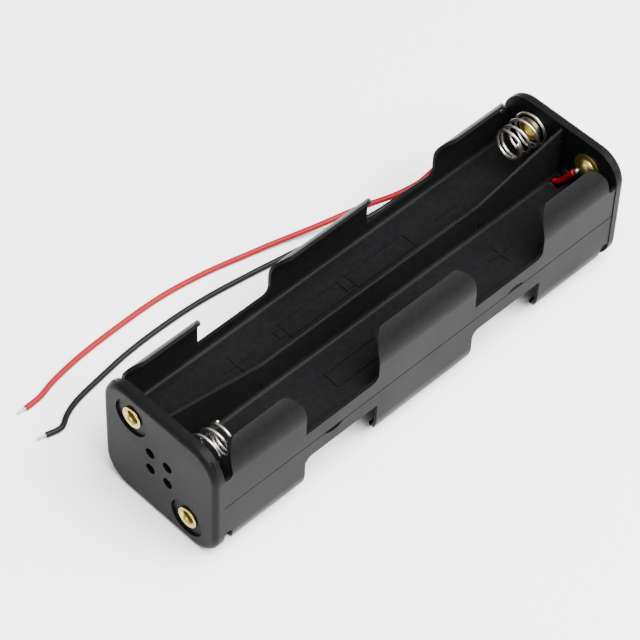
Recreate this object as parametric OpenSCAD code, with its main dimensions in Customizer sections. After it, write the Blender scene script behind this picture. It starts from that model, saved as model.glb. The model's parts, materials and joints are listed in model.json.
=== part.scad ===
// Holder for eight cylindrical cells, four on each side.
// Two like tray mouldings stand back to back. Each has two channels with two
// cells end to end in each, and carries the end plate at one end of both trays.
// X runs along the cells, Z is up, and the origin is under the centre.
// "near" is the low X end, "far" the high X end.

/* [Cells] */
// Diameter of the largest cell that fits
cell_d = 14.5; // [13.5:0.1:15.5]
// Length of one cell
cell_len = 50.5; // [44:0.5:52]
// Room beside two cells for a spring and a contact
contact_room = 8.1; // [7:0.1:10]

/* [Trays] */
// Thickness of a side wall
wall_t = 0.7; // [0.6:0.1:1.2]
// Thickness of the partition between two channels
partition_t = 0.8; // [0.6:0.1:1.6]
// Thickness of the floor
floor_t = 1.1; // [1:0.1:1.8]
// Fillet along the foot of a wall
foot_fillet = 1; // [0.4:0.1:1.2]
// Depth of the groove outside the seam of the two trays
seam_depth = 0.35; // [0.1:0.05:0.5]
// Height of half that groove
seam_height = 0.15; // [0.05:0.05:0.4]
// Gap between a tray and the other tray's end plate
end_gap = 0.15; // [0.05:0.05:0.3]

/* [Wings] */
// How far a wing wraps over its cell, in degrees above the cell's middle
wing_wrap = 55; // [35:1:55]
// Corner radius of a wing, seen from the side
wing_corner = 4.5; // [2:0.5:6]
// Length of the middle wing
mid_wing = 27; // [18:0.5:34]
// Length of a finger window
window_len = 19.6; // [14:0.2:22]
// Rim height of a finger window above the seam
window_rim = 3.85; // [3:0.05:6.5]
// Fillet at one foot of each finger window
window_fillet = 1.8; // [0.5:0.1:3]
// Width of the slot between an end wing and its plate
slot_w = 2.25; // [1.5:0.05:3]
// Lowest point of that slot above the seam
slot_rim = 8.1; // [5:0.1:9.5]

/* [Partition] */
// Ridge height along the middle, above the seam
ridge_mid = 9.05; // [6:0.05:12]
// Ridge height at the plates, above the seam
ridge_end = 14.1; // [12.5:0.1:14.3]
// Half length of the level ridge
ridge_level = 30.3; // [15:0.1:38]

/* [Seam lugs] */
// Place of the lug and its notch along a side wall
lug_x = 25.5; // [16:0.5:40]
// Width of a lug at its root
lug_w = 4.8; // [3:0.1:7]
// Height of a lug
lug_h = 0.95; // [0.5:0.05:1.3]
// Clearance round a lug in its notch
lug_gap = 0.1; // [0.05:0.05:0.2]

/* [End plates] */
// Thickness of an end plate
plate_t = 2.45; // [2.2:0.05:4]
// How far a plate stands out past the side walls
plate_lip = 0.15; // [0.05:0.05:1]
// How far a cell stands up past the plates
cell_proud = 0.7; // [0.6:0.1:1]
// Corner radius of a plate
plate_corner = 6.6; // [4:0.2:9]
// Rounding of a plate's outer edge
plate_edge = 1.25; // [0.5:0.05:1.5]
// Diameter of one of the four holes in the middle of a plate
hole_d = 2.5; // [1.5:0.1:2.8]
// Pitch of those holes
hole_pitch = 4.8; // [4.8:0.1:5.6]

/* [Contacts] */
// Diameter of a rivet's shank
shank_d = 3.5; // [3.2:0.1:3.8]
// Clearance of a shank in its hole, on the radius
shank_gap = 0.05; // [0.02:0.01:0.1]
// Bore of a rivet's tubular end
bore_d = 2.6; // [2:0.1:2.7]
// Diameter to which that bore opens at its mouth
mouth_d = 3.3; // [2.8:0.1:3.7]
// Diameter of a contact rivet's domed head
head_d = 4.2; // [4:0.1:5]
// Height of that head
head_h = 1.3; // [0.8:0.1:1.8]
// Diameter of the rolled end outside the plate
roll_d = 4.9; // [4.2:0.1:5.6]
// Thickness of the rolled end
roll_t = 0.5; // [0.3:0.05:0.6]
// Diameter of a contact washer
washer_d = 6.4; // [6:0.1:8]
// Thickness of a contact washer
washer_t = 0.3; // [0.2:0.05:0.5]
// Flange diameter of the eyelet that holds a spring
flange_d = 5; // [4.8:0.1:6]
// Flange thickness of that eyelet
flange_t = 0.35; // [0.25:0.05:0.5]
// Diameter of the counterbore round a rolled end
sink_d = 8.6; // [6:0.1:9]
// Depth of that counterbore
sink_depth = 0.5; // [0.4:0.05:1]
// Width of the link strip outside the far plate
strip_w = 5.6; // [5:0.1:6.2]
// Thickness of the link strip
strip_t = 0.25; // [0.15:0.05:0.3]
// Clearance round the link strip in its recess
strip_gap = 0.3; // [0.1:0.05:0.5]

/* [Springs] */
// Diameter of the spring wire
wire_d = 0.65; // [0.5:0.05:0.75]
// Mean diameter of the coils at the plate
base_d = 7.9; // [7.4:0.1:8.6]
// Mean diameter of the coils at the tip
tip_d = 6.7; // [6:0.1:7.4]
// Free length of a spring from its plate to its tip
spring_len = 7.85; // [7:0.05:9]
// Closed turns at the tip
closed_turns = 1.25; // [1:0.25:2]
// Open turns behind them
open_turns = 2.65; // [2:0.05:3.2]
// Clearance between the wire and a rivet's shank
loop_gap = 0.12; // [0.05:0.01:0.2]

/* [Leads] */
// Outside diameter of a lead
lead_d = 1.25; // [1:0.05:1.3]
// Diameter of a lead's bare end
core_d = 0.65; // [0.4:0.05:0.8]
// Diameter of a blob of solder
solder_d = 1.4; // [1:0.1:1.5]
// Clearance round the leads in their duct
duct_gap = 0.05; // [0.03:0.01:0.1]
// Distance from the far plate to the middle of the duct
duct_at = 2.15; // [2:0.05:3]
// Length of the opening from the floor down into the duct
mouth_len = 2.8; // [2.6:0.1:4]

/* [Hidden] */
$fn = 48;
eps = 0.01;

// Across the trays
cell_y = (cell_d + partition_t) / 2;
wall_in = cell_y + cell_d / 2;
wall_out = wall_in + wall_t;
plate_y = wall_out + plate_lip;
// Up from the seam
cell_z = floor_t + cell_d / 2;
plate_z = floor_t + cell_d - cell_proud;
wing_top = plate_z + 0.1;
// Along the trays
bay_x = cell_len + contact_room / 2;
mid_x = mid_wing / 2;
window_x = mid_x + window_len;
slot_x = bay_x - slot_w;
// Where a rivet's rolled end bears, from the plate's inner face
rivet_seat = plate_t - sink_depth;

// Springs and the loops of their wire round a shank
loop_r = shank_d / 2 + loop_gap + wire_d / 2;
base_r = base_d / 2;
tip_r = tip_d / 2;
wire_at = wire_d / 2;
closed_pitch = wire_d * 1.05;
open_pitch = (spring_len - wire_d - closed_turns * closed_pitch) / open_turns;
coil_steps = 16;
// Turns of a far spring's wire round its eyelet, out to the coil and flat, in degrees,
// and the angle where it starts to rise
ring_turn = 250;
spiral_turn = 170;
flat_turn = 168;
rise_angle = 100;
// Turn of a near spring's loop round the next rivet and of its flat start
loop_turn = 290;
start_turn = 12;
// Where a near spring's tail leaves its loop and meets its coil
tail_angle = acos((base_r - loop_r) / (2 * cell_y));
// Height of that tail over the seam where it passes the partition
tail_z = cell_z + (base_r + loop_r) / (2 * sin(tail_angle));
tail_room = 0.28;

// Lead duct along the seam, with the two leads side by side
lead_pitch = 1.4;
duct_x = bay_x - duct_at;
duct_w = lead_pitch + lead_d + 2 * duct_gap;
duct_h = lead_d / 2 + duct_gap;
// Edge of its mouth beside the partition
mouth_y = -partition_t / 2 - 0.3;
// How a lead drops to the seam: steps in Y from the mouth's edge and heights
lead_drop = [[-2.2, floor_t + 0.8], [-1.3, floor_t - 0.35], [-0.65, 0.2], [-0.15, 0.01], [0.5, 0]];
// Ends of the inner leads: heights over the plate, distances from the rivet's axis
lead_angle = -44;
red_u = 1.35;
red_r = head_d / 2 + lead_d / 2 + 0.35;
black_u = 0.95;
black_r = base_r + wire_d / 2 + lead_d / 2 + 0.6;
solder_u = washer_t + duct_gap + solder_d / 2;
// Points of a free lead: straight out of the wall, then down to rest
red_route = [[53.1, 15.6, 14.9], [53.1, 16.6, 14.9], [52.6, 18.2, 14.2], [50, 20.2, 13],
    [45.5, 21.3, 10.8], [41, 22.2, 8.6], [37.4, 22.8, 7], [32.6, 24.5, 5.7], [28, 27, 4.4],
    [23.3, 29.3, 3.2], [18, 31, 2.6], [13, 33, 1.7], [7.5, 35, 1.1], [2, 36.6, 0.75],
    [-9, 39.2, 0.65], [-20, 40.6, 0.65], [-32, 40.6, 0.65], [-42, 40.1, 0.65],
    [-50, 39, 0.65], [-55, 37.7, 0.65], [-59, 37.4, 0.65]];
black_route = [[51.7, 15.6, 14.9], [51.7, 16.6, 14.9], [51.2, 17.6, 14.2], [48.5, 19, 12.8],
    [44, 19.8, 11], [38, 21.4, 8.4], [32, 23.2, 6], [26, 24.4, 4.6], [20.8, 26.2, 3.3],
    [15.6, 28.1, 2.2], [10, 30, 1.3], [4, 31.4, 0.8], [-2, 32.5, 0.65], [-13, 34, 0.65],
    [-23, 34.5, 0.65], [-34, 34.2, 0.65], [-43, 33.1, 0.65], [-50, 32, 0.65],
    [-54, 30.6, 0.65], [-57, 28.9, 0.65], [-60.5, 29.5, 0.65]];
red_tip = [-61, 37.6, 0.65];
black_tip = [-62.5, 30, 0.65];

// ---- Helpers ----

// Extrudes a drawing of Y and Z along X
module along_x(x0, x1) {
    translate([x0, 0, 0]) rotate([90, 0, 90]) linear_extrude(x1 - x0) children();
}

// Extrudes a drawing of X and Z along Y
module along_y(y0, y1) {
    translate([0, y1, 0]) rotate([90, 0, 0]) linear_extrude(y1 - y0) children();
}

// Turns a solid made on the Z axis onto the X axis
module on_x() {
    rotate([0, 90, 0]) children();
}

// The web that fills an inside corner at the origin
module corner_web(r) {
    difference() {
        square(r);
        translate([r, r]) circle(r);
    }
}

function unit(v) = v / norm(v);
function heading(p, i) = unit(p[min(i + 1, len(p) - 1)] - p[max(i - 1, 0)]);

// Round tube along points p, with its first side turned towards ref
module tube(p, d, sides, ref) {
    rings = [for (i = [0 : len(p) - 1])
        let (t = heading(p, i), u = unit(cross(ref, t)), v = cross(t, u))
        for (k = [0 : sides - 1])
            let (a = 360 * k / sides) p[i] + d / 2 * (cos(a) * u + sin(a) * v)];
    last = (len(p) - 1) * sides;
    start_cap = [for (k = [0 : sides - 1]) k];
    end_cap = [for (k = [sides - 1 : -1 : 0]) last + k];
    skin = [for (i = [0 : len(p) - 2]) for (k = [0 : sides - 1])
        let (a = i * sides + k, b = i * sides + (k + 1) % sides)
        [a, a + sides, b + sides, b]];
    polyhedron(rings, concat([start_cap, end_cap], skin));
}

// Point at t between p[i] and p[i + 1] on a smooth curve through p
function spline(p, i, t) =
    let (a = p[max(i - 1, 0)], b = p[i], c = p[i + 1], d = p[min(i + 2, len(p) - 1)])
    0.5 * (2 * b + (c - a) * t + (2 * a - 5 * b + 4 * c - d) * t * t
        + (3 * b - a - 3 * c + d) * t * t * t);
function smooth(p, n) = concat(
    [for (i = [0 : len(p) - 2]) for (k = [0 : n - 1]) spline(p, i, k / n)],
    [p[len(p) - 1]]);

// Puts what is drawn about the seam at its height over the origin
module raised() {
    translate([0, 0, plate_z]) children();
}

// Turns an upper fitting over into the tray below
module turned_over() {
    rotate([180, 0, 0]) children();
}

// Places of the fittings: x = 0 on the plate's inner face, +X into the bay
module at_near(y) {
    translate([-bay_x, y, cell_z]) children();
}
module at_far(y) {
    translate([bay_x, y, cell_z]) mirror([1, 0, 0]) children();
}

// ---- Trays ----

// Section of one side wall, with the wing that wraps over its cell
module wall_section() {
    r_in = cell_d / 2;
    r_out = r_in + wall_t;
    translate([wall_in, 0]) square([wall_t, cell_z]);
    translate([wall_in, floor_t]) mirror([1, 0]) corner_web(foot_fillet);
    translate([cell_y, cell_z]) intersection() {
        difference() {
            circle(r_out);
            circle(r_in);
        }
        polygon([[0, 0], [2 * r_out, 0], [2 * r_out, 2 * r_out * tan(wing_wrap)]]);
    }
}

// Section of floor and side walls
module tray_section() {
    difference() {
        union() {
            translate([-wall_out, 0]) square([2 * wall_out, floor_t]);
            wall_section();
            mirror([1, 0]) wall_section();
        }
        for (side = [0, 1]) mirror([side, 0]) translate([wall_out, 0])
            polygon([[eps, -eps], [-seam_depth, -eps], [-seam_depth, 0], [0, seam_height],
                [eps, seam_height]]);
    }
}

// Side view of one finger window, with the wings' round corners above it
module window_side() {
    difference() {
        translate([0, window_rim]) square([window_len, wing_top]);
        translate([window_len, window_rim]) mirror([1, 0]) corner_web(window_fillet);
    }
    wing_corners(window_len);
}

// Round corners of the wings on both sides of a cut of the given width
module wing_corners(w) {
    translate([eps, wing_top]) rotate(180) corner_web(wing_corner + eps);
    translate([w - eps, wing_top]) mirror([0, 1]) corner_web(wing_corner + eps);
}

// Side view of the slot beside a plate, with its full-round foot
module slot_side() {
    r = slot_w / 2;
    translate([r, slot_rim + r]) circle(r);
    translate([0, slot_rim + r]) square([slot_w, wing_top]);
    wing_corners(slot_w);
}

module shell() {
    difference() {
        along_x(-bay_x - plate_t / 2, bay_x - end_gap) tray_section();
        along_y(-2 * wall_out, 2 * wall_out) {
            translate([mid_x, 0]) window_side();
            translate([-window_x, 0]) window_side();
            for (side = [0, 1]) mirror([side, 0]) translate([slot_x, 0]) slot_side();
        }
    }
}

// Section of the partition under its round ridge, hanging down from z = 0
module ridge_section() {
    r = partition_t / 2;
    round_top = [for (a = [0 : 30 : 180]) r * [cos(a), sin(a) - 1]];
    polygon(concat(round_top, [[-r, -2 * cell_d], [r, -2 * cell_d]]));
}

// Partition, level along its middle and rising to the plates
module partition() {
    run = bay_x - ridge_level;
    rise = atan2(ridge_end - ridge_mid, run);
    intersection() {
        union() {
            translate([0, 0, ridge_mid]) along_x(-ridge_level, ridge_level) ridge_section();
            for (side = [0, 1]) mirror([side, 0, 0])
                translate([ridge_level, 0, ridge_mid]) rotate([0, -rise, 0])
                    along_x(-1, 2 * run) ridge_section();
        }
        along_x(-bay_x - eps, bay_x - end_gap)
            translate([-cell_d / 2, 0]) square([cell_d, plate_z]);
    }
    along_x(-bay_x - eps, bay_x - end_gap) for (side = [0, 1]) mirror([side, 0])
        translate([partition_t / 2 - eps, floor_t - eps]) corner_web(foot_fillet);
}

// Profile of a plate from its inner face at y = 0, with a round outer edge at x = w
module plate_profile(w) {
    difference() {
        square([w, plate_t]);
        translate([w, plate_t]) mirror([1, 0]) mirror([0, 1]) corner_web(plate_edge);
    }
}

// End plate with x = 0 on its inner face and its outer face towards -X
module end_plate() {
    y = plate_y - plate_corner;
    z = plate_z - plate_corner;
    rotate([0, -90, 0]) {
        linear_extrude(plate_t) square(2 * [z, y], center = true);
        for (side = [0, 1]) mirror([side, 0, 0]) {
            translate([z, 0, 0]) rotate([90, 0, 0])
                linear_extrude(2 * y, center = true) plate_profile(plate_corner);
            for (end = [0, 1]) mirror([0, end, 0])
                translate([z, y, 0]) rotate_extrude(angle = 90) plate_profile(plate_corner);
        }
        for (side = [0, 1]) mirror([0, side, 0])
            translate([0, y, 0]) rotate([90, 0, 90])
                linear_extrude(2 * z, center = true) plate_profile(plate_corner);
    }
}

// Side view of a lug, drawn upwards from the seam
module lug_side(grow) {
    r = (lug_w * lug_w / 4 + lug_h * lug_h) / (2 * lug_h);
    intersection() {
        translate([0, lug_h - r]) circle(r + grow);
        translate([-lug_w, -lug_h / 2]) square([2 * lug_w, 2 * lug_h]);
    }
}

// Lug that reaches into the other tray, cut to the wall inside the seam groove
module lugs() {
    for (side = [0, 1]) mirror([0, side, 0])
        along_y(wall_in, wall_out - seam_depth) translate([-lug_x, 0])
            mirror([0, 1]) lug_side(0);
}
module lug_notches() {
    for (side = [0, 1]) mirror([0, side, 0])
        along_y(wall_in - eps, wall_out + 1) translate([lug_x, 0]) lug_side(lug_gap);
}

// Room for the leads at one end: half of the duct along the seam, and its mouth
module lead_way() {
    translate([duct_x - duct_w / 2, mouth_y - mouth_len, -1]) {
        cube([duct_w, 2 * plate_y, 1 + duct_h]);
        cube([duct_w, mouth_len, 1.5 + floor_t + foot_fillet]);
    }
}

// Window for a spring's tail through the partition
module tail_window() {
    translate([bay_x - wire_d - tail_room, -partition_t, tail_z - wire_d / 2 - tail_room])
        cube([2 * wire_d, 2 * partition_t, wire_d + 2 * tail_room]);
}

// Cut for a rivet through a plate, with the round sink of its rolled end
module rivet_hole() {
    rotate([0, -90, 0]) {
        translate([0, 0, -1]) cylinder(d = shank_d + 2 * shank_gap, h = plate_t + 2);
        translate([0, 0, plate_t - sink_depth]) cylinder(d = sink_d, h = 1 + sink_depth);
    }
}

// Four through holes in the middle of a plate
module plate_holes() {
    for (y = [-1, 1]) for (z = [-1, 1])
        translate([0, y * hole_pitch / 2, z * hole_pitch / 2])
            rotate([0, -90, 0]) translate([0, 0, -eps])
                cylinder(d = hole_d, h = plate_t + 1);
}

// One tray above the seam, its own end plate at the low X end.
// The children are cut out of the plate, with x = 0 on its inner face.
module tray() {
    difference() {
        union() {
            shell();
            difference() {
                partition();
                for (side = [0, 1]) mirror([side, 0, 0]) tail_window();
            }
            translate([-bay_x, 0, 0]) end_plate();
            lugs();
        }
        lug_notches();
        for (side = [0, 1]) mirror([side, 0, 0]) lead_way();
        translate([-bay_x, 0, 0]) {
            plate_holes();
            children();
        }
    }
}

module upper_tray() {
    color([0.12, 0.12, 0.13]) raised() tray() {
        translate([0, cell_y, cell_z]) rivet_hole();
        translate([0, -cell_y, -cell_z]) rivet_hole();
    }
}

module lower_tray() {
    color([0.12, 0.12, 0.13]) raised() rotate([0, 180, 0]) tray() {
        for (y = [-1, 1]) for (z = [-1, 1])
            translate([0, y * cell_y, z * cell_z]) rivet_hole();
        strip_recess();
    }
}

// Recess under two rivets' rolled ends, for the link strip
module strip_recess() {
    translate([strip_t - rivet_seat, cell_y, 0]) rotate([0, -90, 0])
        linear_extrude(plate_t) strip_outline(strip_w + 2 * strip_gap);
}

// Outline of the link strip in the given width
module strip_outline(w) {
    square([2 * cell_z, w], center = true);
    for (z = [-cell_z, cell_z]) translate([z, 0]) circle(d = w);
}

// ---- Contacts ----

// Rivet on the X axis, x = 0 on the plate's inner face. It clamps a stack of the
// given height under the head its children draw, and is tubular outside bore_top.
module rivet(stack, bore_top) {
    on_x() rotate_extrude() difference() {
        union() {
            translate([0, -rivet_seat - roll_t / 2])
                square([shank_d / 2, rivet_seat + roll_t / 2 + stack + eps]);
            rolled_end();
            translate([0, stack]) children();
        }
        translate([-1, -2 * plate_t]) square([1 + bore_d / 2, 2 * plate_t + bore_top]);
        flared_mouth();
        translate([-1, -2 * plate_t]) square([1, 4 * plate_t]);
    }
}

// Half section of the rolled end outside the plate
module rolled_end() {
    lip = roll_t / 2;
    translate([0, -rivet_seat - roll_t]) square([roll_d / 2 - lip, roll_t]);
    translate([roll_d / 2 - lip, -rivet_seat - lip]) circle(lip);
}

// Half section of the funnel in which a rivet's bore ends
module flared_mouth() {
    flare = (mouth_d - bore_d) / 2;
    translate([0, -rivet_seat - roll_t]) polygon([[0, -1], [mouth_d / 2 + 1, -1],
        [mouth_d / 2, 0], [bore_d / 2, flare], [0, flare]]);
}

// Half section of a domed head
module head_section() {
    r = (head_d * head_d / 4 + head_h * head_h) / (2 * head_h);
    intersection() {
        translate([0, head_h - r]) circle(r);
        square([head_d / 2, head_h]);
    }
}

// Contact rivet over a stack of the given height
module contact(stack) {
    rivet(stack, -plate_t / 2) head_section();
}

// Tubular eyelet whose flange clamps a spring's ring
module eyelet() {
    rivet(wire_d, plate_t) square([flange_d / 2, flange_t]);
}

// Washer whose underside lies at the given height over the plate
module washer(height) {
    translate([height, 0, 0]) on_x() difference() {
        cylinder(d = washer_d, h = washer_t);
        translate([0, 0, -1]) cylinder(d = shank_d + 2 * shank_gap, h = washer_t + 2);
    }
}

module near_upper_contact() {
    color("gold") raised() at_near(cell_y) contact(wire_d + washer_t);
}

module near_lower_contact() {
    color("gold") raised() turned_over() at_near(cell_y) contact(wire_d + washer_t);
}

module far_upper_contact() {
    color("gold") raised() at_far(-cell_y) contact(washer_t);
}

module far_lower_contact() {
    color("gold") raised() turned_over() at_far(-cell_y) contact(washer_t);
}

module near_upper_washer() {
    color("silver") raised() at_near(cell_y) washer(wire_d);
}

module near_lower_washer() {
    color("silver") raised() turned_over() at_near(cell_y) washer(wire_d);
}

module far_upper_washer() {
    color("gold") raised() at_far(-cell_y) washer(0);
}

module far_lower_washer() {
    color("gold") raised() turned_over() at_far(-cell_y) washer(0);
}

module far_upper_eyelet() {
    color("gold") raised() at_far(cell_y) eyelet();
}

module far_lower_eyelet() {
    color("gold") raised() turned_over() at_far(cell_y) eyelet();
}

// Strip that joins the far upper spring to the far lower contact below it
module link_strip() {
    x = bay_x + rivet_seat - strip_t;
    color("silver") raised() translate([x, cell_y, 0]) on_x() difference() {
        linear_extrude(strip_t) strip_outline(strip_w);
        for (z = [-cell_z, cell_z])
            translate([z, 0, -1]) cylinder(d = shank_d + 2 * shank_gap, h = strip_t + 2);
    }
}

// ---- Springs ----

// Height of the wire over the plate after a number of turns of the coil
function coil_rise(turns) = wire_at + open_pitch * min(turns, open_turns)
    + closed_pitch * max(0, turns - open_turns);

// Coil from angle a0, wound with angles that fall where way = -1
function coil_path(a0, way) = [for (k = [0 : (open_turns + closed_turns) * coil_steps])
    let (turns = k / coil_steps, a = a0 + way * 360 * turns,
        r = base_r + (tip_r - base_r) * min(1, turns / open_turns))
    [coil_rise(turns), r * cos(a), r * sin(a)]];

// Flat arc about y = y0 that turns by the given angle while its radius goes r0 to r1
function flat_arc(y0, a0, turn, r0, r1) =
    let (n = round(abs(turn) / 360 * coil_steps))
    [for (k = [0 : n - 1])
        let (a = a0 + turn * k / n, r = r0 + (r1 - r0) * k / n)
        [wire_at, y0 + r * cos(a), r * sin(a)]];

// Spring whose wire ends in a ring under an eyelet on its own axis
module ringed_spring() {
    flat_start = rise_angle + flat_turn;
    spiral_start = flat_start + spiral_turn;
    tube(concat(
        flat_arc(0, spiral_start + ring_turn, -ring_turn, loop_r, loop_r),
        flat_arc(0, spiral_start, -spiral_turn, loop_r, base_r),
        flat_arc(0, flat_start, -flat_turn, base_r, base_r),
        coil_path(rise_angle, -1)), wire_d, 8, [1, 0, 0]);
}

// Spring whose wire runs on as a tail to a loop round the next rivet
module tailed_spring() {
    tube(concat(
        flat_arc(2 * cell_y, tail_angle - loop_turn, loop_turn, loop_r, loop_r),
        [[wire_at, 2 * cell_y + loop_r * cos(tail_angle), loop_r * sin(tail_angle)]],
        flat_arc(0, tail_angle, start_turn, base_r, base_r),
        coil_path(tail_angle + start_turn, 1)), wire_d, 8, [1, 0, 0]);
}

module near_upper_spring() {
    color("silver") raised() at_near(-cell_y) tailed_spring();
}

module near_lower_spring() {
    color("silver") raised() turned_over() at_near(-cell_y) tailed_spring();
}

module far_upper_spring() {
    color("silver") raised() at_far(cell_y) ringed_spring();
}

module far_lower_spring() {
    color("silver") raised() turned_over() at_far(cell_y) ringed_spring();
}

// ---- Leads ----

// Point over the far plate beside the rivet nearest the mouths, from its axis:
// r out at angle a, u over the plate
function beside_rivet(u, r, a) = [bay_x - u, r * cos(a) - cell_y, r * sin(a) + cell_z];

// Inner run of a lead above the seam: from its end down to the mouth and along the duct
module inner_run(lead_end, x) {
    tube(concat([lead_end], [for (d = lead_drop) [x, mouth_y + d[0], d[1]]],
        [[x, red_route[0][1], 0]]), lead_d, 8, [1, 0, 0]);
}
module red_run() {
    inner_run(beside_rivet(red_u, red_r, lead_angle), duct_x + lead_pitch / 2);
}
module black_run() {
    inner_run(beside_rivet(black_u, black_r, lead_angle), duct_x - lead_pitch / 2);
}

module red_lead_inner() {
    color("red") raised() red_run();
}

module black_lead_inner() {
    color("black") raised() mirror([0, 0, 1]) black_run();
}

// Solder between the head of the far upper contact and the red lead
module red_solder() {
    color("silver") raised() difference() {
        translate(beside_rivet(solder_u, head_d / 2 + 0.2, lead_angle)) sphere(d = solder_d);
        at_far(-cell_y) contact(washer_t);
        red_run();
    }
}

// Solder between the base turn of the far lower spring and the black lead
module black_solder() {
    r = base_r + wire_d / 2 + duct_gap + solder_d / 2;
    color("silver") raised() mirror([0, 0, 1]) difference() {
        translate(beside_rivet(solder_u, r, lead_angle)) sphere(d = solder_d);
        black_run();
    }
}

// A free lead's path, its first face square to the wall
function lead_path(route) = concat([route[0]],
    smooth([for (i = [1 : len(route) - 1]) route[i]], 2));

module red_lead() {
    color("red") tube(lead_path(red_route), lead_d, 8, [0, 0, 1]);
}

module black_lead() {
    color("black") tube(lead_path(black_route), lead_d, 8, [0, 0, 1]);
}

module red_lead_tip() {
    color("silver") tube([red_route[len(red_route) - 1], red_tip], core_d, 8, [0, 0, 1]);
}

module black_lead_tip() {
    color("silver") tube([black_route[len(black_route) - 1], black_tip], core_d, 8, [0, 0, 1]);
}

upper_tray();
lower_tray();
near_upper_contact();
near_lower_contact();
far_upper_contact();
far_lower_contact();
near_upper_washer();
near_lower_washer();
far_upper_washer();
far_lower_washer();
near_upper_spring();
near_lower_spring();
far_upper_spring();
far_lower_spring();
far_upper_eyelet();
far_lower_eyelet();
link_strip();
red_solder();
black_solder();
red_lead_inner();
black_lead_inner();
red_lead();
black_lead();
red_lead_tip();
black_lead_tip();
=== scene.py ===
import bpy
import bmesh
import json
import math
import random
from mathutils import Matrix, Vector


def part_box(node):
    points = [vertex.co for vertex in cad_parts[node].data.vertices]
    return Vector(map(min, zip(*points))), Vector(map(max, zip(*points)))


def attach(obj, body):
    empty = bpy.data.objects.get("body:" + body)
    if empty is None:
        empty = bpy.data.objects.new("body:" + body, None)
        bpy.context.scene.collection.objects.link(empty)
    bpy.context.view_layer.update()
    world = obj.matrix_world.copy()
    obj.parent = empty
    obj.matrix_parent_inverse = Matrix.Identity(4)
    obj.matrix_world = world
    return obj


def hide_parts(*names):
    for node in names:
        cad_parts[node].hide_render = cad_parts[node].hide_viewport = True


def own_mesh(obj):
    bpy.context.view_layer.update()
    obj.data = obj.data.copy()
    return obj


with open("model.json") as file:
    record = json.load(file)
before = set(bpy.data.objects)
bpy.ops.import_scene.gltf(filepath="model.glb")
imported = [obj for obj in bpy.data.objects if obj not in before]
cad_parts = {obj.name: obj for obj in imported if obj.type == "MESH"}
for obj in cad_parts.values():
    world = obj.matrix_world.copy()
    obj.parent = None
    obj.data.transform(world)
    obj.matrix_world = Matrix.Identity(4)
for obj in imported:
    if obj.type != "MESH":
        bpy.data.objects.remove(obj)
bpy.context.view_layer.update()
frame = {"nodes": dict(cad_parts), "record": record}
mm = 0.001
tiny = 1e-7  # two points closer than this are one
print("frame loaded:", len(frame["nodes"]), "nodes")


def boxMiddle(node):
    low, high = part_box(node)
    return Vector([(a + b) / 2 for a, b in zip(low, high)])


# A node's name as a piece's name: near_upper_spring gives nearUpperSpring
def camelName(node):
    first, *others = node.split("_")
    return first + "".join(word.title() for word in others)


seamZ = boxMiddle("link_strip").z  # height of the seam between the two trays

cameraPlace = {
    "at": (-281.94 * mm, -257.53 * mm, 465.63 * mm),
    "azimuth": -46.09,
    "elevation": 49.93,
    "roll": 2.28,
    "lens": 166.8,
    "sensor": 36,
    "clip": (0.01, 20),
}


def addCamera(place):
    camera = bpy.data.cameras.new("camera")
    camera.lens = place["lens"]
    camera.sensor_width = place["sensor"]
    camera.clip_start, camera.clip_end = place["clip"]
    eye = bpy.data.objects.new("camera", camera)
    bpy.context.scene.collection.objects.link(eye)
    azimuth = math.radians(place["azimuth"])
    elevation = math.radians(place["elevation"])
    forward = Vector((-math.sin(azimuth) * math.cos(elevation),
                      math.cos(azimuth) * math.cos(elevation), -math.sin(elevation)))
    right = forward.cross(Vector((0, 0, 1))).normalized()
    up = right.cross(forward)
    roll = math.radians(place["roll"])
    right, up = (math.cos(roll) * right + math.sin(roll) * up,
                 math.cos(roll) * up - math.sin(roll) * right)
    turn = Matrix((right, up, -forward)).transposed().to_4x4()
    eye.matrix_world = Matrix.Translation(place["at"]) @ turn
    bpy.context.scene.camera = eye


addCamera(cameraPlace)

lamps = {
    "overhead": {"at": (0.12, -0.45, 1.1), "aim": (0, 0, 0), "size": 1.1, "power": 88},
    "leftBox": {"at": (-0.75, 0.25, 0.45), "aim": (0, 0, 0.01), "size": 0.6, "power": 1.5},
    "rightBox": {"at": (0.45, -0.65, 0.45), "aim": (0, 0, 0.01), "size": 0.6, "power": 6},
}


def addLamp(name, lamp):
    light = bpy.data.lights.new(name, "AREA")
    light.shape = "SQUARE"
    light.size = lamp["size"]
    light.energy = lamp["power"]
    thing = bpy.data.objects.new(name, light)
    bpy.context.scene.collection.objects.link(thing)
    aim = Vector(lamp["at"]) - Vector(lamp["aim"])
    turn = aim.to_track_quat("Z", "Y").to_matrix().to_4x4()
    thing.matrix_world = Matrix.Translation(lamp["at"]) @ turn


for name, lamp in lamps.items():
    addLamp(name, lamp)

skyLight = {"colour": (1, 1, 1, 1), "strength": 0.6}

world = bpy.data.worlds.new("studio")
world.use_nodes = True
background = world.node_tree.nodes["Background"]
background.inputs["Color"].default_value = skyLight["colour"]
background.inputs["Strength"].default_value = skyLight["strength"]
bpy.context.scene.world = world
print("camera and light placed")


# A socket that can be added and scaled like a number
class Wire:
    def __init__(self, shader, socket):
        self.shader = shader
        self.socket = socket

    def maths(self, operation, *values):
        return self.shader.node("ShaderNodeMath", {"operation": operation}, dict(enumerate(values)))

    def __add__(self, other):
        return self.maths("ADD", self, other)

    def __mul__(self, other):
        return self.maths("MULTIPLY", self, other)

    __radd__ = __add__
    __rmul__ = __mul__


# Numbers of a Mix node's sockets for colours, whose names it gives more than once
mixSockets = {"factor": 0, "first": 6, "second": 7, "result": 2}


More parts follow.
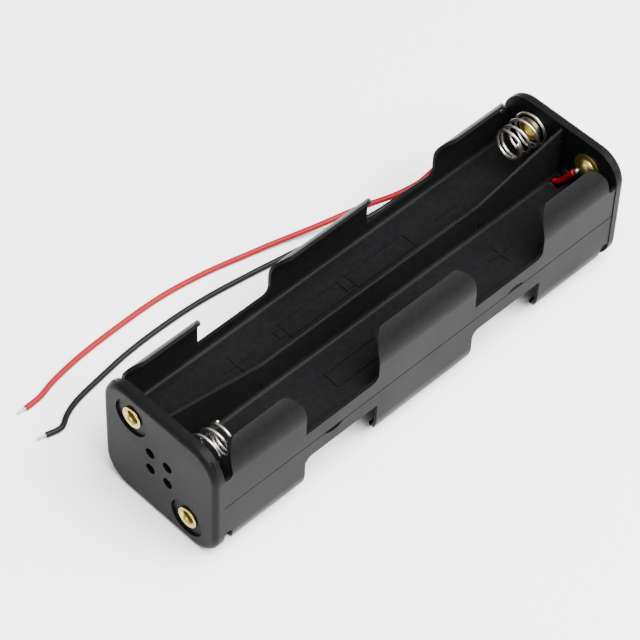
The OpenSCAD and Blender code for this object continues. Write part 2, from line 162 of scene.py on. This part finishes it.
# One material: its Principled shader, and any other node through node()
class Shader:
    def __init__(self, name):
        self.material = bpy.data.materials.new(name)
        self.material.use_nodes = True
        self.tree = self.material.node_tree
        self.principled = self.tree.nodes["Principled BSDF"]

    def node(self, kind, settings=None, sockets=None, output=0):
        made = self.tree.nodes.new(kind)
        for key, value in (settings or {}).items():
            setattr(made, key, value)
        for key, value in (sockets or {}).items():
            self.feed(made.inputs[key], value)
        return Wire(self, made.outputs[output])

    def feed(self, socket, value):
        if isinstance(value, Wire):
            self.tree.links.new(value.socket, socket)
        else:
            socket.default_value = value

    def set(self, **sockets):
        for key, value in sockets.items():
            self.feed(self.principled.inputs[key.replace("_", " ")], value)

    def noise(self, scale, detail, rough=0.5):
        return self.node("ShaderNodeTexNoise", {}, {
            "Vector": self.node("ShaderNodeTexCoord", output="Object"),
            "Scale": scale, "Detail": detail, "Roughness": rough}, "Fac")

    # Maps a value from one span to another, held at its ends
    def span(self, value, source, target):
        return self.node("ShaderNodeMapRange", {"clamp": True}, {
            "Value": value, "From Min": source[0], "From Max": source[1],
            "To Min": target[0], "To Max": target[1]})

    def blend(self, factor, first, second):
        at = mixSockets
        return self.node("ShaderNodeMix", {"data_type": "RGBA"}, {
            at["factor"]: factor, at["first"]: first, at["second"]: second}, at["result"])

    def bump(self, height, depth, strength):
        return self.node("ShaderNodeBump", {}, {
            "Height": height, "Distance": depth, "Strength": strength})


# In each look a noise is (scale, detail, roughness), what ends in Span is the part of a noise
# that is used, rough is (least, most), and bump is (depth, strength)
plasticLook = {
    "dark": (0.0036, 0.0036, 0.0039, 1),
    "light": (0.0056, 0.0056, 0.0060, 1),
    "index": 1.12,
    "cloud": (60, 3),
    "grain": (5200, 2),
    "rub": (900, 4, 0.7),
    "rough": (0.33, 0.43),
    "cloudSpan": (0.35, 0.7),
    "rubbed": (0.0, 0.06),
    "rubbedSpan": (0.5, 0.75),
    "tintSpan": (0.35, 0.8),
    "grainShare": 0.5,
    "cloudShare": 6.0,
    "bump": (0.012 * mm, 0.35),
}


def makeCasePlastic():
    look = plasticLook
    shade = Shader("casePlastic")
    cloud = shade.noise(*look["cloud"])
    grain = shade.noise(*look["grain"])
    rub = shade.noise(*look["rub"])
    height = grain * look["grainShare"] + cloud * look["cloudShare"]
    shade.set(
        Base_Color=shade.blend(shade.span(rub, look["tintSpan"], (0, 1)),
                               look["dark"], look["light"]),
        Roughness=(shade.span(cloud, look["cloudSpan"], look["rough"])
                   + shade.span(rub, look["rubbedSpan"], look["rubbed"])),
        IOR=look["index"],
        Normal=shade.bump(height, *look["bump"]))
    return shade.material


brassLook = {
    "clean": (0.58, 0.47, 0.155, 1),
    "stained": (0.38, 0.29, 0.080, 1),
    "stain": (900, 4, 0.65),
    "turning": (3500, 2),
    "tintSpan": (0.35, 0.75),
    "rough": (0.27, 0.42),
    "roughSpan": (0.3, 0.75),
    "bump": (0.004 * mm, 0.15),
}


def makeBrass():
    look = brassLook
    shade = Shader("brass")
    stain = shade.noise(*look["stain"])
    turning = shade.noise(*look["turning"])
    shade.set(
        Base_Color=shade.blend(shade.span(stain, look["tintSpan"], (0, 1)),
                               look["clean"], look["stained"]),
        Metallic=1.0,
        Roughness=shade.span(stain, look["roughSpan"], look["rough"]),
        Normal=shade.bump(turning, *look["bump"]))
    return shade.material


nickelLook = {
    "haze": (1500, 3, 0.6),
    "darker": (0.8, 0.79, 0.77),
    "rougher": 0.12,
    "roughSpan": (0.3, 0.7),
    "bump": (0.0015 * mm, 0.1),
}


def makeNickel(name, tint, rough):
    look = nickelLook
    shade = Shader(name)
    haze = shade.noise(*look["haze"])
    hazed = tuple(a * b for a, b in zip(tint, look["darker"])) + (1,)
    shade.set(
        Base_Color=shade.blend(haze, tint, hazed),
        Metallic=1.0,
        Roughness=shade.span(haze, look["roughSpan"], (rough, rough + look["rougher"])),
        Normal=shade.bump(haze, *look["bump"]))
    return shade.material


jacketLook = {
    "scuff": (700, 4, 0.6),
    "skin": (4000, 2),
    "rough": (0.42, 0.54),
    "roughSpan": (0.3, 0.75),
    "specular": 0.16,
    "bump": (0.01 * mm, 0.4),
}


def makeJacket(name, light, dark):
    look = jacketLook
    shade = Shader(name)
    scuff = shade.noise(*look["scuff"])
    skin = shade.noise(*look["skin"])
    shade.set(
        Base_Color=shade.blend(scuff, light, dark),
        Roughness=shade.span(scuff, look["roughSpan"], look["rough"]),
        Specular_IOR_Level=look["specular"],
        Normal=shade.bump(skin, *look["bump"]))
    return shade.material


finishes = {
    "case": makeCasePlastic(),
    "brass": makeBrass(),
    "nickel": makeNickel("nickelPlate", (0.36, 0.34, 0.31, 1), 0.32),
    "spring_wire": makeNickel("springNickel", (0.56, 0.54, 0.50, 1), 0.26),
    "tin": makeNickel("tin", (0.52, 0.52, 0.51, 1), 0.26),
    "red_jacket": makeJacket("redJacket", (0.24, 0.0034, 0.0080, 1), (0.18, 0.0020, 0.0052, 1)),
    "black_jacket": makeJacket("blackJacket", (0.0030, 0.0031, 0.0036, 1),
                               (0.0018, 0.0018, 0.0022, 1)),
}
print("materials made:", len(finishes))

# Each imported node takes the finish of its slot
slotOf = {part["node"]: part["material_slot"] for part in frame["record"]["subparts"]}
for name, slot in slotOf.items():
    thing = frame["nodes"][name]
    thing.data.materials.clear()
    thing.data.materials.append(finishes[slot])


def addPiece(name, verts, faces, slot, smooth=True):
    mesh = bpy.data.meshes.new(name)
    mesh.from_pydata([tuple(v) for v in verts], [], faces)
    mesh.update()
    for face in mesh.polygons:
        face.use_smooth = smooth
    piece = bpy.data.objects.new(name, mesh)
    bpy.context.scene.collection.objects.link(piece)
    mesh.materials.append(finishes[slot])
    return piece


# Rings that round off a tube's end, as (share of its radius, share of the rounding's reach)
capRings = ((0.8, 0.6), (0.45, 0.9))


# Points and faces of a round tube along a path, closed at both ends
def sweepTube(path, radius, sides, endRound=0.0):
    points = [Vector(p) for p in path]
    last = len(points) - 1
    verts, faces = [], []
    side = None
    for i, p in enumerate(points):
        along = (points[min(i + 1, last)] - points[max(i - 1, 0)]).normalized()
        if side is None:
            side = along.orthogonal().normalized()
        side = (side - side.dot(along) * along).normalized()
        other = along.cross(side)
        for k in range(sides):
            a = 2 * math.pi * k / sides
            verts.append(p + radius * (math.cos(a) * side + math.sin(a) * other))
    for i in range(last):
        for k in range(sides):
            a, b = i * sides + k, i * sides + (k + 1) % sides
            faces.append((a, b, b + sides, a + sides))
    if endRound:
        for end, ring in ((0, 0), (last, last * sides)):
            inner = points[1] if end == 0 else points[last - 1]
            out = (points[end] - inner).normalized()
            loop = [ring + k for k in range(sides)]
            for share, push in capRings:
                start = len(verts)
                for k in range(sides):
                    verts.append(points[end] + share * (verts[ring + k] - points[end])
                                 + out * endRound * push)
                for k in range(sides):
                    a, b = loop[k], loop[(k + 1) % sides]
                    c, d = start + (k + 1) % sides, start + k
                    faces.append((b, a, d, c) if end == 0 else (a, b, c, d))
                loop = [start + k for k in range(sides)]
            faces.append(tuple(loop if end else reversed(loop)))
    else:
        faces.append(tuple(reversed(range(sides))))
        faces.append(tuple(range(last * sides, (last + 1) * sides)))
    return verts, faces


# Points of a smooth curve through a route, several to each stretch
def smoothRoute(route, steps):
    points = [Vector(p) for p in route]
    last = len(points) - 1
    curve = []
    for i in range(last):
        a, b = points[max(i - 1, 0)], points[i]
        c, d = points[i + 1], points[min(i + 2, last)]
        for k in range(steps):
            t = k / steps
            curve.append(0.5 * (2 * b + (c - a) * t + (2 * a - 5 * b + 4 * c - d) * t * t
                                + (3 * b - a - 3 * c + d) * t ** 3))
    return curve + [points[last]]


def pathLength(points):
    return sum((b - a).length for a, b in zip(points, points[1:]))


leadTube = {"steps": 8, "sides": 24, "endRound": 0.06 * mm}
# Routes and tips are in millimetres, from the wall's opening to the free end
leads = {
    "red": {
        "diameter": 1.25 * mm,
        "route": [
            (53.1, 15.6, 14.9), (53.1, 16.6, 14.9), (52.6, 18.2, 14.2), (50, 20.2, 13),
            (45.5, 21.3, 10.8), (41, 22.2, 8.6), (37.4, 22.8, 7), (32.6, 24.5, 5.7), (28, 27, 4.4),
            (23.3, 29.3, 3.2), (18, 31, 2.6), (13, 33, 1.7), (7.5, 35, 1.1), (2, 36.6, 0.75),
            (-9, 39.2, 0.65), (-20, 40.6, 0.65), (-32, 40.6, 0.65), (-42, 40.1, 0.65),
            (-50, 39, 0.65), (-55, 37.7, 0.65), (-59, 37.4, 0.65)],
        "tip": (-61, 37.6, 0.65)},
    "black": {
        "diameter": 1.25 * mm,
        "route": [
            (51.7, 15.6, 14.9), (51.7, 16.6, 14.9), (51.2, 17.6, 14.2), (48.5, 19, 12.8),
            (44, 19.8, 11), (38, 21.4, 8.4), (32, 23.2, 6), (26, 24.4, 4.6), (20.8, 26.2, 3.3),
            (15.6, 28.1, 2.2), (10, 30, 1.3), (4, 31.4, 0.8), (-2, 32.5, 0.65), (-13, 34, 0.65),
            (-23, 34.5, 0.65), (-34, 34.2, 0.65), (-43, 33.1, 0.65), (-50, 32, 0.65),
            (-54, 30.6, 0.65), (-57, 28.9, 0.65), (-60.5, 29.5, 0.65)],
        "tip": (-62.5, 30, 0.65)},
}
strands = {
    "count": 7,
    "twists": 1.1,
    "radius": 0.115 * mm,
    "spread": 0.205 * mm,
    "narrowing": 0.25,  # share of the spread that is gone at the tip
    "uneven": 0.12,  # most that a strand falls short, as a share of the length
    "inside": 0.15,  # run inside the jacket, as a share of the length
    "endRound": 0.05 * mm,
    "sides": 8,
    "rings": 14,
}


# Twisted bare strands from the cut end of a jacket to the lead's tip
def addStrands(name, start, end):
    verts, faces = [], []
    along = (end - start).normalized()
    side = along.orthogonal().normalized()
    other = along.cross(side)
    rng = random.Random(name)
    for k in range(strands["count"]):
        spread = 0 if k == 0 else strands["spread"]
        reach = 1 - strands["uneven"] * rng.random()
        path = []
        for i in range(strands["rings"]):
            t = i / (strands["rings"] - 1)
            a = 2 * math.pi * (k / (strands["count"] - 1) + strands["twists"] * t)
            flare = spread * (1 - strands["narrowing"] * t)
            path.append(start + (end - start) * (t * reach - strands["inside"] * (1 - t))
                        + flare * (math.cos(a) * side + math.sin(a) * other))
        tubeVerts, tubeFaces = sweepTube(path, strands["radius"], strands["sides"],
                                         strands["endRound"])
        faces += [tuple(i + len(verts) for i in face) for face in tubeFaces]
        verts += tubeVerts
    piece = addPiece(name + "Strands", verts, faces, "tin")
    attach(piece, "holder")
    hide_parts(name + "_lead_tip")
    return piece


for name, lead in leads.items():
    route = smoothRoute([Vector(p) * mm for p in lead["route"]], leadTube["steps"])
    verts, faces = sweepTube(route, lead["diameter"] / 2, leadTube["sides"], leadTube["endRound"])
    jacket = addPiece(name + "Lead", verts, faces, name + "_jacket")
    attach(jacket, "holder")
    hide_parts(name + "_lead")
    bare = addStrands(name, route[-1], Vector(lead["tip"]) * mm)
    pathLength(route)
    print(name, "lead:", round(pathLength(route), 4), "m")


# Averages each point with its neighbours, so that bends start and end gently
def eased(points, rounds):
    points = [Vector(p) for p in points]
    for _ in range(rounds):
        inner = [(a + 2 * b + c) / 4 for a, b, c in zip(points, points[1:], points[2:])]
        points = [points[0]] + inner + [points[-1]]
    return points


# The leads' runs inside: from a joint beside a rivet, down the mouth and along the duct.
# The joint is this far over the end plate and beside the rivet's axis, above or below the seam
innerRuns = {
    "red": {"over": 1.35 * mm, "beside": 3.075 * mm, "way": 1},
    "black": {"over": 0.95 * mm, "beside": 5.5 * mm, "way": -1},
}
innerRun = {
    "angle": -44,  # of the joint about the rivet, from level
    "mouth": -0.7 * mm,  # the duct's near end along Y
    "drop": [(-2.2, 1.9), (-1.3, 0.75), (-0.65, 0.2), (-0.15, 0.01), (0.5, 0)],  # mm: Y, height
    "step": 0.2 * mm,
    "easing": 8,
}


def addInnerRun(name, run):
    rivet = boxMiddle("far_upper_contact")
    angle = math.radians(innerRun["angle"])
    x = leads[name]["route"][0][0] * mm
    corners = [(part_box("far_upper_spring")[1][0] - run["over"],
                rivet.y + run["beside"] * math.cos(angle),
                rivet.z - seamZ + run["beside"] * math.sin(angle))]
    corners += [(x, innerRun["mouth"] + y * mm, z * mm) for y, z in innerRun["drop"]]
    corners.append((x, leads[name]["route"][0][1] * mm, 0))
    corners = [Vector((a, b, seamZ + run["way"] * c)) for a, b, c in corners]
    path = []
    for a, b in zip(corners, corners[1:]):
        count = max(1, round((b - a).length / innerRun["step"]))
        path += [a + (b - a) * k / count for k in range(count)]
    path = eased(path + [corners[-1]], innerRun["easing"])
    verts, faces = sweepTube(path, leads[name]["diameter"] / 2, leadTube["sides"])
    piece = addPiece(name + "LeadInner", verts, faces, name + "_jacket")
    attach(piece, "holder")
    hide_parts(name + "_lead_inner")


for name, run in innerRuns.items():
    addInnerRun(name, run)
print("inner leads laid")

# Radii, and depths and heights from the plate's inner face
rivetShape = {
    "seat": 1.95 * mm,  # depth of the plate's outer face
    "rolled": 2.45 * mm,  # depth of the rolled end's tip
    "shank": 1.75 * mm,
    "bore": 1.42 * mm,
    "boreEnd": 0.1 * mm,
    "rim": 2.45 * mm,
    "crest": 2.26 * mm,
    "funnel": 0.8 * mm,
    "head": 2.1 * mm,
    "headHeight": 1.3 * mm,
    "flange": 2.5 * mm,
    "flangeThick": 0.35 * mm,
    "contactRound": 0.04 * mm,
    "eyeletRound": 0.1 * mm,
    "lipStep": 15,  # in degrees
    "funnelSteps": 12,
    "headSteps": 16,
    "sides": 72,
}
# What each rivet clamps on the plate's inner face
stacks = {"nearContact": 0.95 * mm, "farContact": 0.3 * mm, "farEyelet": 0.65 * mm}


# A profile of (radius, height) points with its corners rounded off
def roundedProfile(points, reach):
    points = [Vector(p) for p in points]
    curve = [points[0]]
    for a, p, b in zip(points, points[1:], points[2:]):
        cut = min(reach, (a - p).length / 2, (b - p).length / 2)
        fore, aft = p + (a - p).normalized() * cut, p + (b - p).normalized() * cut
        for t in (0, 0.25, 0.5, 0.75, 1):
            curve.append((1 - t) ** 2 * fore + 2 * t * (1 - t) * p + t * t * aft)
    return curve + [points[-1]]


# The rolled end, from the shank out over the rim and down into the bore
def rolledEnd():
    r = rivetShape
    lip = (r["rolled"] - r["seat"]) / 2
    points = [(r["shank"], -r["seat"])]
    for degrees in range(0, 181, r["lipStep"]):
        a = math.radians(degrees)
        points.append((r["rim"] - lip + lip * math.sin(a), -r["seat"] - lip + lip * math.cos(a)))
    for k in range(1, r["funnelSteps"] + 1):
        a = math.radians(90 * k / r["funnelSteps"])
        points.append((r["crest"] - (r["crest"] - r["bore"]) * math.sin(a),
                       -r["rolled"] + r["funnel"] * (1 - math.cos(a))))
    return points


def contactProfile(stack):
    r = rivetShape
    dome = (r["head"] ** 2 + r["headHeight"] ** 2) / (2 * r["headHeight"])
    spread = math.asin(r["head"] / dome)
    top = []
    for k in range(r["headSteps"] + 1):
        a = spread * k / r["headSteps"]
        top.append((dome * math.sin(a), stack + r["headHeight"] - dome * (1 - math.cos(a))))
    return roundedProfile(top + [(r["shank"], stack)] + rolledEnd()
                          + [(r["bore"], r["boreEnd"]), (0, r["boreEnd"])], r["contactRound"])


def eyeletProfile(stack):
    r = rivetShape
    top = stack + r["flangeThick"]
    flange = [(r["bore"], 0), (r["bore"], top), (r["flange"], top), (r["flange"], stack)]
    return roundedProfile(flange + [(r["shank"], stack)] + rolledEnd() + [(r["bore"], 0)],
                          r["eyeletRound"])


# Turns a profile about the node's own axis
def addRivet(node, profile):
    low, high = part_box(node)
    middle = boxMiddle(node)
    inward = 1 if low[0] < 0 else -1
    face = (low[0] if low[0] < 0 else high[0]) + inward * rivetShape["rolled"]
    sides = rivetShape["sides"]
    verts, rings, faces = [], [], []
    for r, h in profile:
        if r < tiny:
            rings.append([len(verts)] * sides)
            verts.append((face + inward * h, middle.y, middle.z))
            continue
        rings.append([len(verts) + k for k in range(sides)])
        for k in range(sides):
            a = 2 * math.pi * k / sides
            verts.append((face + inward * h, middle.y + inward * r * math.cos(a),
                          middle.z + r * math.sin(a)))
    for a, b in zip(rings, rings[1:]):
        for k in range(sides):
            corners = [a[k], b[k], b[(k + 1) % sides], a[(k + 1) % sides]]
            faces.append(tuple(dict.fromkeys(corners)))
    piece = addPiece(camelName(node), verts, faces, "brass")
    welded = bmesh.new()
    welded.from_mesh(piece.data)
    bmesh.ops.remove_doubles(welded, verts=welded.verts, dist=tiny)
    welded.to_mesh(piece.data)
    welded.free()
    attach(piece, "holder")
    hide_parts(node)


for level in ("upper", "lower"):
    addRivet("near_" + level + "_contact", contactProfile(stacks["nearContact"]))
    addRivet("far_" + level + "_contact", contactProfile(stacks["farContact"]))
    addRivet("far_" + level + "_eyelet", eyeletProfile(stacks["farEyelet"]))
print("rivets turned")

springShape = {
    "wire": 0.65 * mm,
    "baseRadius": 3.95 * mm,
    "tipRadius": 3.35 * mm,
    "loopRadius": 2.195 * mm,
    "freeLength": 7.85 * mm,
    "openTurns": 2.65,
    "closedTurns": 1.25,
    "closedPitch": 1.05,  # in wire thicknesses
    "ringTurn": 250, "spiralTurn": 170, "flatTurn": 168, "riseAngle": 100,  # ringed, in degrees
    "loopTurn": 290, "startTurn": 12,  # tailed, in degrees
    "between": 15.3 * mm,  # from the coil's axis to the next rivet's
    "keep": 0.49,  # share of the length left at full press
    "steps": 48,  # points to a turn
    "tailSteps": 8,
    "sides": 16,
    "easing": 6,
    "endRound": 0.12 * mm,
}


# Height of the wire's middle over the plate after so many turns
def coilRise(turns):
    s = springShape
    closedPitch = s["closedPitch"] * s["wire"]
    openPitch = (s["freeLength"] - s["wire"] - s["closedTurns"] * closedPitch) / s["openTurns"]
    return (s["wire"] / 2 + openPitch * min(turns, s["openTurns"])
            + closedPitch * max(0, turns - s["openTurns"]))


# Points as (distance from the plate, across, up) about the spring's own axis
def arcPoints(across, start, turn, radiusFrom, radiusTo):
    count = round(abs(turn) / 360 * springShape["steps"])
    points = []
    for k in range(count):
        a = math.radians(start + turn * k / count)
        r = radiusFrom + (radiusTo - radiusFrom) * (k / count)
        points.append((springShape["wire"] / 2, across + r * math.cos(a), r * math.sin(a)))
    return points


def coilPoints(start, way):
    s = springShape
    total = s["openTurns"] + s["closedTurns"]
    points = []
    for k in range(int(total * s["steps"]) + 1):
        turns = k / s["steps"]
        a = math.radians(start + way * 360 * turns)
        r = s["baseRadius"] + (s["tipRadius"] - s["baseRadius"]) * min(1, turns / s["openTurns"])
        points.append((coilRise(turns), r * math.cos(a), r * math.sin(a)))
    return points


# From the ring under the eyelet, out along a spiral, to the coil
def ringedPoints():
    s = springShape
    flat = s["riseAngle"] + s["flatTurn"]
    spiral = flat + s["spiralTurn"]
    return (arcPoints(0, spiral + s["ringTurn"], -s["ringTurn"], s["loopRadius"], s["loopRadius"])
            + arcPoints(0, spiral, -s["spiralTurn"], s["loopRadius"], s["baseRadius"])
            + arcPoints(0, flat, -s["flatTurn"], s["baseRadius"], s["baseRadius"])
            + coilPoints(s["riseAngle"], -1))


# From the loop under the next rivet, along the straight tail, to the coil
def tailedPoints():
    s = springShape
    lean = math.degrees(math.acos((s["baseRadius"] - s["loopRadius"]) / s["between"]))
    corner = math.radians(lean)
    leave = (s["wire"] / 2, s["between"] + s["loopRadius"] * math.cos(corner),
             s["loopRadius"] * math.sin(corner))
    meet = (s["wire"] / 2, s["baseRadius"] * math.cos(corner), s["baseRadius"] * math.sin(corner))
    tail = [tuple(a + (b - a) * t / s["tailSteps"] for a, b in zip(leave, meet))
            for t in range(s["tailSteps"])]
    return (arcPoints(s["between"], lean - s["loopTurn"], s["loopTurn"],
                      s["loopRadius"], s["loopRadius"])
            + tail + arcPoints(0, lean, s["startTurn"], s["baseRadius"], s["baseRadius"])
            + coilPoints(lean + s["startTurn"], 1))


def addSpring(node, plateX, across, points, turnedOver):
    flip = -1 if turnedOver else 1
    inward = 1 if plateX < 0 else -1
    axisUp = abs(boxMiddle("far_upper_eyelet").z - seamZ)
    path = [Vector((plateX + inward * p.x, flip * (across + p.y), seamZ + flip * (axisUp + p.z)))
            for p in eased(points, springShape["easing"])]
    verts, faces = sweepTube(path, springShape["wire"] / 2, springShape["sides"],
                             springShape["endRound"])
    piece = addPiece(camelName(node), verts, faces, "spring_wire")
    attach(piece, "holder")
    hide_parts(node)
    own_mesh(piece)


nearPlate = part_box("near_upper_spring")[0][0]
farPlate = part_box("far_upper_spring")[1][0]
channelY = boxMiddle("far_upper_eyelet").y
for level in ("upper", "lower"):
    turnedOver = level == "lower"
    addSpring("near_" + level + "_spring", nearPlate, -channelY, tailedPoints(), turnedOver)
    addSpring("far_" + level + "_spring", farPlate, channelY, ringedPoints(), turnedOver)
print("springs wound")

# Moulded signs and cell outlines on the channel floors
marks = {
    "channel": 7.7 * mm,
    "floor": 1.1 * mm,
    "width": 0.44 * mm,
    "height": 0.24 * mm,
    "lower": 0.02 * mm,  # how much less high a path that crosses another is
    "sunk": 0.05 * mm,
    "upright": 0.03 * mm,
    "slope": 0.05 * mm,
    "signAt": 29.4 * mm,
    "signArm": 3.1 * mm,
    "signCross": 2.5 * mm,
    "cellLength": 16.3 * mm,
    "cellHalfWidth": 2 * mm,
    "cellStarts": (-16.4 * mm, 2.3 * mm),
    "nubLength": 2.1 * mm,
    "nubHalfWidth": 1 * mm,
}


# Paths on one channel floor: points, whether closed, and a height
def markPaths():
    m = marks
    at, arm, cross, high = m["signAt"], m["signArm"], m["signCross"], m["height"]
    low = high - m["lower"]
    paths = [([(-at - arm, 0), (-at + arm, 0)], False, high),
             ([(-at, -cross), (-at, cross)], False, low),
             ([(at - arm, 0), (at + arm, 0)], False, high)]
    for start in m["cellStarts"]:
        end, nub = start + m["cellLength"], start - m["nubLength"]
        wide, slim = m["cellHalfWidth"], m["nubHalfWidth"]
        paths.append(([(start, -wide), (end, -wide), (end, wide), (start, wide)], True, high))
        paths.append(([(start, -slim), (nub, -slim), (nub, slim), (start, slim)], False, low))
    return paths


# Left-hand push of a path's corner, mitred where two stretches meet
def mitre(points, i, closed):
    count = len(points)
    turns = []
    for j in (i - 1, i):
        if closed or 0 <= j < count - 1:
            along = (points[(j + 1) % count] - points[j % count]).normalized()
            turns.append(Vector((-along.y, along.x)))
    middle = sum(turns, Vector((0, 0)))
    return middle * (2 / middle.length_squared if len(turns) == 2 else 1)


# Low ridges with sloped sides, their feet inside the floor
def addMarks(name, way, flip):
    half = marks["width"] / 2
    ring = (1, 3, 5, 4, 2, 0)  # a section's corners in order
    verts, faces = [], []
    for path, closed, height in markPaths():
        points = [Vector(p) for p in path]
        first = len(verts)
        section = ((half, -marks["sunk"]), (half, marks["upright"]),
                   (half - marks["slope"], height))
        for i, p in enumerate(points):
            for reach, up in section:
                for hand in (1, -1):
                    q = p + hand * reach * mitre(points, i, closed)
                    verts.append((way * q.x, flip * way * (marks["channel"] + q.y),
                                  seamZ + flip * (marks["floor"] + up)))
        last = len(points) if closed else len(points) - 1
        for i in range(last):
            a, b = first + len(ring) * i, first + len(ring) * ((i + 1) % len(points))
            for m, n in zip(ring, ring[1:] + ring[:1]):
                faces.append((a + m, b + m, b + n, a + n))
        if not closed:
            faces.append(tuple(first + k for k in ring))
            faces.append(tuple(first + len(ring) * last + k for k in reversed(ring)))
    piece = addPiece(name, verts, faces, "case", smooth=False)
    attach(piece, "holder")


for level, flip in (("upper", 1), ("lower", -1)):
    addMarks(level + "LeftMarks", 1, flip)
    addMarks(level + "RightMarks", -1, flip)
print("floor marks moulded")

floorShape = {"half": 3, "colour": (0.9, 0.9, 0.9, 1), "rough": 0.6}


def addFloor():
    half = floorShape["half"]
    mesh = bpy.data.meshes.new("floor")
    mesh.from_pydata([(-half, -half, 0), (half, -half, 0), (half, half, 0), (-half, half, 0)],
                     [], [(0, 1, 2, 3)])
    floor = bpy.data.objects.new("floor", mesh)
    bpy.context.scene.collection.objects.link(floor)
    shade = Shader("paleFloor")
    shade.set(Base_Color=floorShape["colour"], Roughness=floorShape["rough"])
    mesh.materials.append(shade.material)


addFloor()
print("floor laid")
